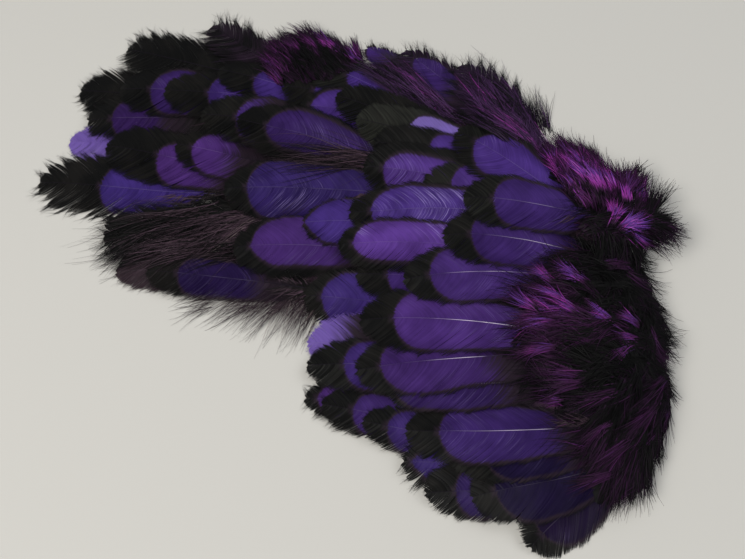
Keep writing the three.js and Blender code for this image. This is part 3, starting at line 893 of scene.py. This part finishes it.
def add_wisps(strips, rng, node):
    """The streams of loose strands that one feather or tuft holds."""
    for under, x, y, heading, length, wide, count, glow in WISPS.get(node, ()):
        names = (node,) if under is OWN else under
        bed = pile.heights([pile.nodes[name] for name in names]) if names else pile.feathers
        across = headings(heading + 90)
        start = np.array([x, y, 0.0]) + across * rng.uniform(-wide / 2, wide / 2, (count, 1))
        start = start + headings(heading) * rng.normal(0, 0.12 * length, (count, 1))
        ways = headings(heading + rng.normal(0, 7, count))
        reach = length * rng.uniform(0.5, 1.2, count)
        q = np.linspace(0, 1, WISP_POINTS)[None]
        bend = rng.normal(0, 0.18, (count, 1)) * q + rng.normal(0, 0.12, (count, 1)) * np.sin(4 * q)
        moves = turned(ways[:, None] + 0 * q[..., None], bend) * (reach / (WISP_POINTS - 1))[:, None, None]
        moves[:, 0] = 0
        centres = start[:, None] + np.cumsum(moves, axis=1)
        rise = rng.uniform(0.1, 0.9, (count, 1)) * np.sin(math.pi * q)
        centres[..., 2] = pile.at(bed, centres[..., 0], centres[..., 1]) + 0.2 + rise
        held_up(centres)
        shade = glow + rng.normal(0, 0.5, (count, 1)) - 0.4 * q
        lay_strands(strips, rng, centres, WISP_WIDTH, shade[..., None])


def build_tuft(node, material, rng):
    """A dark hairy bed shaped like the tuft's solid, with locks on it."""
    shape = Shape(node)
    strips = Strips()
    row = TUFT_LOCKS[node]
    strips.whole = {"warm": row["warm"]}
    bed = look(ALL_BLACK, fringe=2, hairs=0.6, splits=0, stop=row["bed"], clump=0.5)
    add_vane(strips, rng, shape, bed, sink=BED_SINK)
    roots = lock_roots(rng, shape, row)
    glow = row["glow"] + rng.normal(0, GLOW_SPREAD, len(roots))
    # A positive change brightens the locks' own colour; a negative one paints shade on them.
    for x, y, radius, change in TINTS_AND_SHADE.get(node, ()):
        apart = np.hypot(roots[:, 0] - x, roots[:, 1] - y) / radius
        glow = glow + change * np.exp(-(apart**2))
    add_locks(strips, rng, roots, glow, rng.uniform(*LOCK_LEVELS, len(roots)), row)
    if node in BRIGHT_LOCKS:
        bright = np.array(BRIGHT_LOCKS[node], float)
        add_locks(strips, rng, bright[:, :4], bright[:, 4], BRIGHT_LEVEL, row, strands=BRIGHT_STRANDS)
    add_wisps(strips, rng, node)
    piece = strips.build(node + "_strands", material)
    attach(piece, "root")
    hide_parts(node)
    return piece


class Nodes:
    """Short names for making a material's node tree."""

    def __init__(self, name):
        self.material = bpy.data.materials.new(name)
        self.material.use_nodes = True
        self.tree = self.material.node_tree
        self.shader = self.tree.nodes["Principled BSDF"]

    def put(self, socket, value):
        if isinstance(value, bpy.types.NodeSocket):
            self.tree.links.new(value, socket)
        else:
            socket.default_value = value

    def attribute(self, name):
        node = self.tree.nodes.new("ShaderNodeAttribute")
        node.attribute_name = name
        return node.outputs["Fac"]

    def uv(self, name):
        node = self.tree.nodes.new("ShaderNodeUVMap")
        node.uv_map = name
        return node.outputs["UV"]

    def place(self):
        return self.tree.nodes.new("ShaderNodeTexCoord").outputs["Object"]

    def noise(self, vector, scale, detail=3.0, roughness=0.5):
        node = self.tree.nodes.new("ShaderNodeTexNoise")
        self.put(node.inputs["Vector"], vector)
        node.inputs["Scale"].default_value = scale
        node.inputs["Detail"].default_value = detail
        node.inputs["Roughness"].default_value = roughness
        return node.outputs["Fac"]

    def stretch(self, vector, scale):
        node = self.tree.nodes.new("ShaderNodeMapping")
        self.put(node.inputs["Vector"], vector)
        node.inputs["Scale"].default_value = scale
        return node.outputs["Vector"]

    def math(self, operation, a, b=0.0):
        node = self.tree.nodes.new("ShaderNodeMath")
        node.operation = operation
        self.put(node.inputs[0], a)
        self.put(node.inputs[1], b)
        return node.outputs[0]

    def scale(self, colour, factor):
        node = self.tree.nodes.new("ShaderNodeVectorMath")
        node.operation = "SCALE"
        self.put(node.inputs[0], colour)
        self.put(node.inputs["Scale"], factor)
        return node.outputs[0]

    def ramp(self, value, low, high):
        """0 below low, 1 above high, and a smooth step between."""
        node = self.tree.nodes.new("ShaderNodeMapRange")
        node.interpolation_type = "SMOOTHSTEP"
        self.put(node.inputs["Value"], value)
        node.inputs["From Min"].default_value = low
        node.inputs["From Max"].default_value = high
        return node.outputs["Result"]

    def mix(self, share, a, b):
        node = self.tree.nodes.new("ShaderNodeMix")
        node.data_type = "RGBA"
        self.put(node.inputs["Factor"], share)
        self.put(node.inputs["A"], (*a, 1) if isinstance(a, tuple) else a)
        self.put(node.inputs["B"], (*b, 1) if isinstance(b, tuple) else b)
        return node.outputs["Result"]

    def finish(self, colour, roughness, sheen=0.0, specular=0.3, bump=None):
        self.put(self.shader.inputs["Base Color"], colour)
        self.put(self.shader.inputs["Roughness"], roughness)
        self.shader.inputs["Sheen Weight"].default_value = sheen
        self.shader.inputs["Specular IOR Level"].default_value = specular
        if bump is not None:
            node = self.tree.nodes.new("ShaderNodeBump")
            node.inputs["Strength"].default_value = 0.4
            node.inputs["Distance"].default_value = 0.3 * MM
            self.put(node.inputs["Height"], bump)
            self.put(self.shader.inputs["Normal"], node.outputs["Normal"])
        return self.material


def mix_values(nodes, share, a, b):
    """a where share is 0 and b where it is 1."""
    return nodes.math("ADD", nodes.math("MULTIPLY", share, b - a), a)


BRIGHT_BLUE = (0.042, 0.022, 0.155)
BRIGHT_PURPLE = (0.062, 0.022, 0.138)
DEEP_BLUE = (0.016, 0.008, 0.066)
DEEP_PURPLE = (0.027, 0.009, 0.06)
# Whitish colour of the painted sheen, a painted highlight laid on the dye.
SHEEN_HIGHLIGHT = (0.26, 0.2, 0.45)
LACE_BLACK = (0.003, 0.003, 0.003)
LACE_OLIVE = (0.0065, 0.006, 0.0055)
LACE_GREY = (0.02, 0.021, 0.017)
RIM = (0.017, 0.01, 0.017)
LILAC = (0.13, 0.085, 0.28)
LILAC_DEEP = (0.08, 0.045, 0.2)
MAUVE = (0.03, 0.02, 0.026)
MAUVE_DEEP = (0.02, 0.012, 0.015)
HAIR_MAUVE = (0.055, 0.033, 0.046)
HAIR_PALE = (0.13, 0.1, 0.1)
PLUM = (0.035, 0.009, 0.038)
FLUFF = (0.016, 0.009, 0.017)
FLUFF_PURPLE = (0.05, 0.02, 0.07)
MAGENTA = (0.22, 0.028, 0.23)
DOWN_VIOLET = (0.085, 0.03, 0.2)
DOWN_PINK = (0.38, 0.1, 0.4)
# Colour of a pale shaft, and of the painted glint along it.
SHAFT_PALE_AND_GLINT = (0.5, 0.44, 0.55)
SHAFT_DARK = (0.008, 0.006, 0.01)


def vane_material(name, bright, deep, lace, hairs):
    """Dyed vane with black lacing, streaked along its barbs, with its shaft and loose strands, and with
    patches of painted whitish sheen, a painted highlight, on the dye.
    """
    nodes = Nodes(name)
    barbs = nodes.uv("barbs")
    streaks = nodes.noise(nodes.stretch(barbs, (0.3, 0.05, 1)), 5, detail=4)
    fine = nodes.noise(nodes.stretch(barbs, (0.7, 0.06, 1)), 5, detail=3)
    mottle = nodes.noise(nodes.place(), 120, detail=2)
    sheen_patches = nodes.noise(nodes.place(), 70, detail=1)
    streak = nodes.attribute("streak")
    kind = nodes.attribute("kind")
    glow = nodes.attribute("glow")
    ragged = nodes.math("ADD", nodes.math("MULTIPLY", streak, 0.2), nodes.math("MULTIPLY", streaks, 0.6))
    depth = nodes.math("ADD", nodes.attribute("field"), nodes.math("SUBTRACT", ragged, 0.3))
    dyed = nodes.ramp(depth, -0.45, 0.45)
    tone = nodes.math("ADD", nodes.math("MULTIPLY", streak, 0.05), nodes.math("MULTIPLY", mottle, 1.0))
    tone = nodes.math("ADD", tone, nodes.math("MULTIPLY", nodes.math("SUBTRACT", streaks, 0.5), 0.3))
    edge = nodes.ramp(depth, 0.0, 3.2)
    bright_share = nodes.math("MULTIPLY", nodes.ramp(tone, 0.1, 0.85), mix_values(nodes, edge, 0.45, 1.0))
    warm = nodes.ramp(nodes.attribute("warm"), -1.0, 1.0)
    field = nodes.mix(bright_share, nodes.mix(warm, *deep), nodes.mix(warm, *bright))
    field = nodes.scale(field, nodes.attribute("tone"))
    # Painted highlight: whitish sheen streaks along the barbs in patches, and over the whole dye where the
    # painted sheen value is over 1.
    frost = nodes.math("MULTIPLY", nodes.ramp(sheen_patches, 0.45, 0.7), nodes.ramp(fine, 0.5, 0.75))
    frost = nodes.math("MULTIPLY", frost, nodes.attribute("frost"))
    painted_sheen_all_over = nodes.math("MULTIPLY", nodes.math("SUBTRACT", nodes.attribute("frost"), 1.0), 0.25)
    field = nodes.mix(nodes.math("MAXIMUM", frost, painted_sheen_all_over), field, SHEEN_HIGHLIGHT)
    worn = nodes.math("ADD", nodes.math("MULTIPLY", streaks, 1.3), nodes.attribute("olive"))
    lace_share = nodes.ramp(nodes.math("ADD", mottle, nodes.math("MULTIPLY", streak, 0.1)), 0.35, 0.75)
    lace_colour = nodes.mix(nodes.ramp(worn, 0.75, 1.6), nodes.mix(lace_share, *lace[:2]), lace[2])
    lace_colour = nodes.mix(nodes.math("MULTIPLY", nodes.ramp(depth, -1.8, -0.2), 0.8), lace_colour, RIM)
    vane = nodes.mix(dyed, lace_colour, field)
    # The shaft's own paleness, plus a painted glint where shaft_glint adds to its glow.
    pale = nodes.math("MULTIPLY", nodes.math("MULTIPLY", glow, dyed), nodes.ramp(mottle, 0.25, 0.6))
    shaft = nodes.mix(pale, nodes.mix(dyed, SHAFT_DARK, field), SHAFT_PALE_AND_GLINT)
    hair = nodes.mix(nodes.ramp(nodes.math("ADD", glow, nodes.math("MULTIPLY", streak, 0.5)), -0.9, 0.5),
                     *hairs[:2])
    hair = nodes.mix(nodes.ramp(glow, 0.5, 1.4), hair, hairs[2])
    colour = nodes.mix(nodes.ramp(kind, 0.4, 0.6), vane, shaft)
    colour = nodes.mix(nodes.ramp(kind, 1.4, 1.6), colour, hair)
    rough = nodes.math("ADD", nodes.math("MULTIPLY", streaks, 0.2), 0.4)
    return nodes.finish(colour, rough, specular=VANE_SPECULAR)


def down_material():
    """Dyed down: black and plum, with magenta, violet and lilac strands where the glow is high."""
    nodes = Nodes("down")
    glow = nodes.attribute("glow")
    streak = nodes.attribute("streak")
    kind = nodes.attribute("kind")
    mottle = nodes.noise(nodes.place(), 90, detail=2)
    shift = nodes.math("SUBTRACT", nodes.math("MULTIPLY", streak, 0.12),
                       nodes.math("MULTIPLY", nodes.attribute("warm"), 0.1))
    hue = nodes.ramp(nodes.math("ADD", mottle, shift), 0.42, 0.62)
    dark = nodes.mix(nodes.ramp(glow, -1.1, 0.1), LACE_BLACK, PLUM)
    bright = nodes.mix(hue, MAGENTA, DOWN_VIOLET)
    strand = nodes.mix(nodes.ramp(glow, -0.2, 1.0), dark, bright)
    strand = nodes.mix(nodes.ramp(glow, 0.9, 1.6), strand, DOWN_PINK)
    colour = nodes.mix(nodes.ramp(kind, 1.4, 1.6), LACE_BLACK, strand)
    return nodes.finish(colour, 0.5, specular=DOWN_SPECULAR)


def skin_material():
    """Dried pelt: tan, stained by the dye in blotches, with fine pores."""
    nodes = Nodes("dried_skin")
    place = nodes.place()
    stain = nodes.noise(place, 60, detail=4)
    pores = nodes.noise(place, 900, detail=2)
    colour = nodes.mix(nodes.ramp(stain, 0.4, 0.65), (0.06, 0.03, 0.05), (0.015, 0.006, 0.02))
    return nodes.finish(colour, nodes.math("ADD", nodes.math("MULTIPLY", stain, 0.2), 0.6), bump=pores)


def floor_material():
    nodes = Nodes("floor")
    return nodes.finish((0.42, 0.41, 0.38, 1), 0.6, specular=0.1)


def build_feather(node, looks, material, rng):
    shape = Shape(node, looks["cap"])
    strips = Strips()
    strips.whole = {name: looks[name] for name in ("tone", "warm", "olive", "frost")}
    add_vane(strips, rng, shape, looks)
    add_shaft(strips, shape, looks)
    add_base_down(strips, rng, shape)
    add_wisps(strips, rng, node)
    piece = strips.build(node + "_barbs", material)
    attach(piece, "root")
    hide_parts(node)
    return piece


def add_light(name, place, size, energy, colour):
    lamp = bpy.data.lights.new(name, "AREA")
    lamp.size = size
    lamp.energy = energy
    lamp.color = colour
    light = bpy.data.objects.new(name, lamp)
    light.location = place
    light.rotation_euler = (-Vector(place)).to_track_quat("-Z", "Y").to_euler()
    bpy.context.scene.collection.objects.link(light)


def add_stage():
    mesh = bpy.data.meshes.new("floor")
    half = FLOOR_SIZE / 2
    low = -FLOOR_DROP * MM
    corners = [(-half, -half, low), (half, -half, low), (half, half, low), (-half, half, low)]
    mesh.from_pydata(corners, [], [(0, 1, 2, 3)])
    mesh.materials.append(floor_material())
    floor = bpy.data.objects.new("floor", mesh)
    bpy.context.scene.collection.objects.link(floor)
    add_light("key", (-0.45, -0.35, 0.8), 0.5, 11, (1.0, 0.98, 0.95))
    add_light("fill", (0.6, 0.2, 0.7), 0.7, 4, (0.95, 0.97, 1.0))
    world = bpy.data.worlds.new("studio")
    world.use_nodes = True
    world.node_tree.nodes["Background"].inputs["Color"].default_value = (0.9, 0.93, 1, 1)
    world.node_tree.nodes["Background"].inputs["Strength"].default_value = 0.35
    bpy.context.scene.world = world
    bpy.context.scene.view_settings.view_transform = "Standard"


def add_camera():
    lens = bpy.data.cameras.new("camera")
    lens.sensor_width = SENSOR_WIDTH
    lens.lens = SENSOR_WIDTH * FOCAL_PIXELS / IMAGE_WIDTH
    lens.clip_start = 0.01
    camera = bpy.data.objects.new("camera", lens)
    back = Vector((0, -math.cos(CAMERA_ELEVATION), math.sin(CAMERA_ELEVATION)))
    camera.location = (CAMERA_TARGET + back * CAMERA_DISTANCE) * MM
    camera.rotation_euler = (-back).to_track_quat("-Z", "Y").to_euler()
    bpy.context.scene.collection.objects.link(camera)
    bpy.context.scene.camera = camera


BRIGHT = (BRIGHT_BLUE, BRIGHT_PURPLE)
DEEP = (DEEP_BLUE, DEEP_PURPLE)
LACE = (LACE_BLACK, LACE_OLIVE, LACE_GREY)

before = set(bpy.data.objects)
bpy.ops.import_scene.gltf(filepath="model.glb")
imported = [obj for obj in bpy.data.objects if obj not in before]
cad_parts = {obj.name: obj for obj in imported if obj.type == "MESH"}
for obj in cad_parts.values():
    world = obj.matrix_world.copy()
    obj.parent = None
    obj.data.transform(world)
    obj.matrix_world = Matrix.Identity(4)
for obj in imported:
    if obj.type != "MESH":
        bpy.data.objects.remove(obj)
cad_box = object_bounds()
pile = Pile()
MATERIALS = {
    "laced": vane_material("laced_vane", BRIGHT, DEEP, LACE, (LACE_BLACK, HAIR_MAUVE, HAIR_PALE)),
    "dark": vane_material("dark_vane", BRIGHT, DEEP, LACE, (LACE_BLACK, HAIR_MAUVE, HAIR_PALE)),
    "lilac": vane_material("lilac_vane", (LILAC, LILAC), (LILAC_DEEP, LILAC_DEEP), LACE,
                           (LILAC_DEEP, LILAC, LILAC)),
    "mauve": vane_material("mauve_vane", (MAUVE, MAUVE), (MAUVE_DEEP, MAUVE_DEEP), LACE,
                           (MAUVE_DEEP, MAUVE, HAIR_PALE)),
    "fluffy": vane_material("fluffy_vane", BRIGHT, DEEP, (LACE_BLACK, FLUFF, FLUFF_PURPLE),
                            (LACE_BLACK, FLUFF_PURPLE, MAGENTA)),
}
for number, (node, looks) in enumerate(LOOKS.items()):
    word = node.split("_")[0]
    piece = build_feather(node, looks, MATERIALS[word], np.random.default_rng(SEED + number))
down = down_material()
for number, node in enumerate(TUFT_LOCKS):
    piece = build_tuft(node, down, np.random.default_rng(SEED + len(LOOKS) + number))
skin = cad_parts["skin"]
skin.data.materials.clear()
skin.data.materials.append(skin_material())
add_stage()
add_camera()
